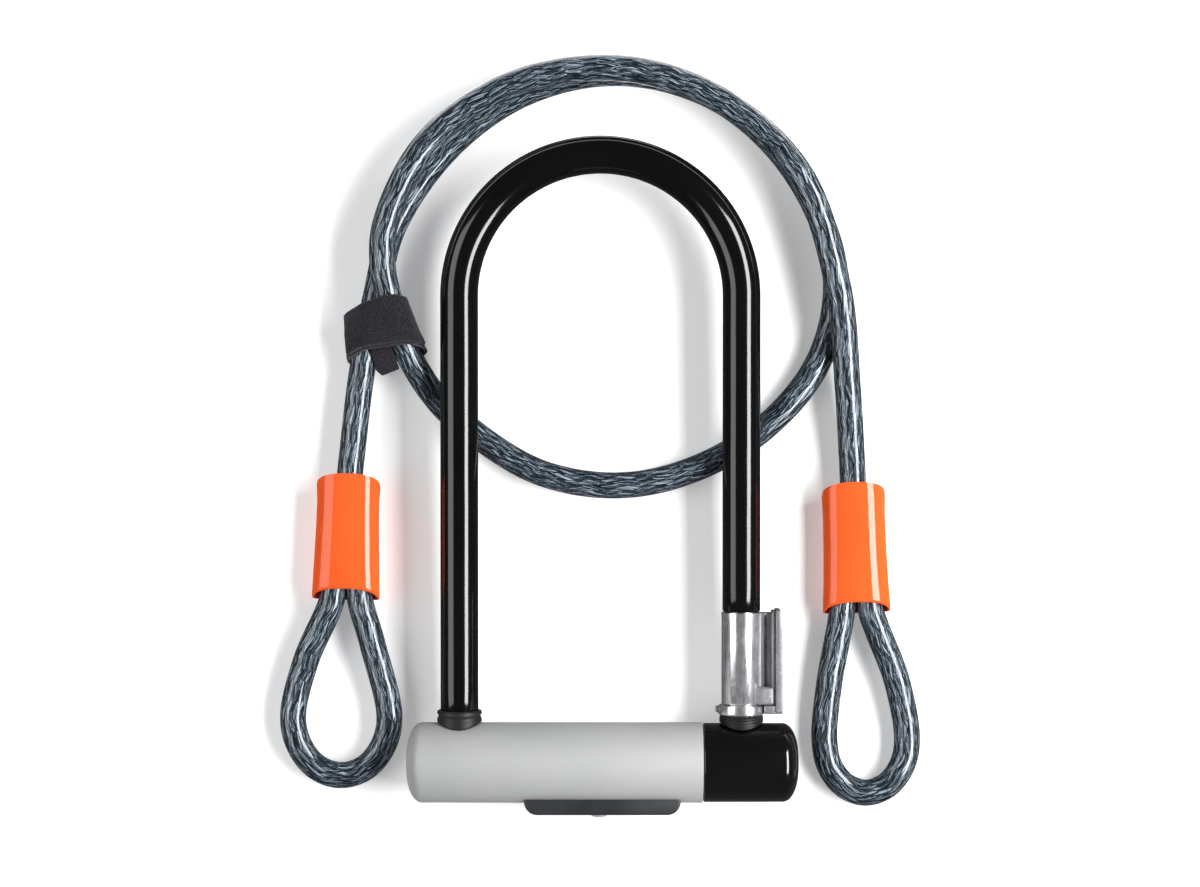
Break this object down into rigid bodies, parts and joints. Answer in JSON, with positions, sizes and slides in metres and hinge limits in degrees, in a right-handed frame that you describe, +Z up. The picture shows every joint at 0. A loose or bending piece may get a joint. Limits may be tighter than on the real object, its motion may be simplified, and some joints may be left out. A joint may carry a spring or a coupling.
{
  "type": "bicycle u-lock",
  "caption": "U-shaped shackle with a removable key-locked crossbar, a carrying clip on one leg, and a coiled double-eye steel cable with crimp covers and a hook-and-loop tie.",
  "frame": {"origin": "middle of the lock's outline in X and Y, at the lowest point of the crossbar where it rests on the table", "axes": "+X to the right along the crossbar, +Y from the crossbar towards the bend of the shackle, +Z up from the table"},
  "size_m": [0.2691, 0.3182, 0.0334],
  "materials": {
    "sleeve_vinyl": "glossy black vinyl",
    "bar_steel": "hardened steel, satin",
    "crossbar_jacket": "satin silver-grey moulded skin",
    "end_jacket": "glossy black moulded skin",
    "bumper_rubber": "matte black rubber",
    "clip_metal": "bright metal with fine scratches",
    "brass": "machined brass",
    "bezel_plastic": "dark grey moulded plastic",
    "knob_metal": "polished metal",
    "cable_vinyl": "braided steel strand under clear glossy vinyl",
    "orange_plastic": "glossy orange moulded plastic",
    "ferrule_metal": "pressed aluminium",
    "strap_fabric": "black hook-and-loop tape"
  },
  "bodies": {
    "shackle": {"shackle_bar": "bar_steel", "shackle_sleeve": "sleeve_vinyl"},
    "crossbar": {"crossbar_tube": "bar_steel", "crossbar_jacket": "crossbar_jacket", "end_jacket": "end_jacket", "left_end_plug": "bar_steel", "right_end_plug": "bar_steel", "left_bolt_guide": "bar_steel", "right_bolt_guide": "bar_steel", "left_bumper": "bumper_rubber", "right_bumper": "bumper_rubber", "keyway_bezel": "bezel_plastic", "lock_housing": "bar_steel", "cylinder_shell": "brass", "drill_guard": "bar_steel"},
    "core": {"lock_core": "brass", "detainer_disc_1": "brass", "detainer_disc_2": "brass", "detainer_disc_3": "brass", "detainer_disc_4": "brass", "detainer_disc_5": "brass", "sidebar": "bar_steel", "drive_cam": "bar_steel"},
    "bolt_left": {"left_bolt": "bar_steel"},
    "bolt_right": {"right_bolt": "bar_steel"},
    "shutter": {"dust_cover": "bezel_plastic", "cover_knob": "knob_metal"},
    "clip": {"mount_sleeve": "clip_metal", "mount_band": "clip_metal", "mount_screw": "bar_steel"},
    "cable_set": {"cable": "cable_vinyl", "left_ferrule": "ferrule_metal", "right_ferrule": "ferrule_metal", "left_ferrule_cover": "orange_plastic", "right_ferrule_cover": "orange_plastic", "cable_strap": "strap_fabric", "strap_tail": "strap_fabric"}
  },
  "joints": [
    {"name": "crossbar_slide", "type": "slide", "parent": "shackle", "child": "crossbar", "axis": [0, -0.9998, -0.0201], "range_m": [0, 0.045]},
    {"name": "key_turn", "type": "hinge", "parent": "crossbar", "child": "core", "pos_m": [-0.00085, -0.12515, 0.01658], "axis": [0, 0.9998, 0.0201], "range_deg": [0, 90]},
    {"name": "left_bolt_slide", "type": "slide", "parent": "crossbar", "child": "bolt_left", "axis": [-1, 0, 0], "range_m": [0, 0.005]},
    {"name": "right_bolt_slide", "type": "slide", "parent": "crossbar", "child": "bolt_right", "axis": [1, 0, 0], "range_m": [0, 0.005]},
    {"name": "dust_cover_slide", "type": "slide", "parent": "crossbar", "child": "shutter", "axis": [1, 0, 0], "range_m": [0, 0.014]},
    {"name": "clip_swivel", "type": "hinge", "parent": "shackle", "child": "clip", "pos_m": [0.05795, -0.07616, 0.01756], "axis": [0, 0.9998, 0.0201], "range_deg": [-180, 180]},
    {"name": "cable_lift_away", "type": "slide", "parent": "shackle", "child": "cable_set", "axis": [0, 1, 0], "range_m": [0, 0.3]}
  ],
  "couplings": [
    {"joint": "left_bolt_slide", "follows": "key_turn", "m_per_rad": 0.003183},
    {"joint": "right_bolt_slide", "follows": "key_turn", "m_per_rad": 0.003183}
  ]
}
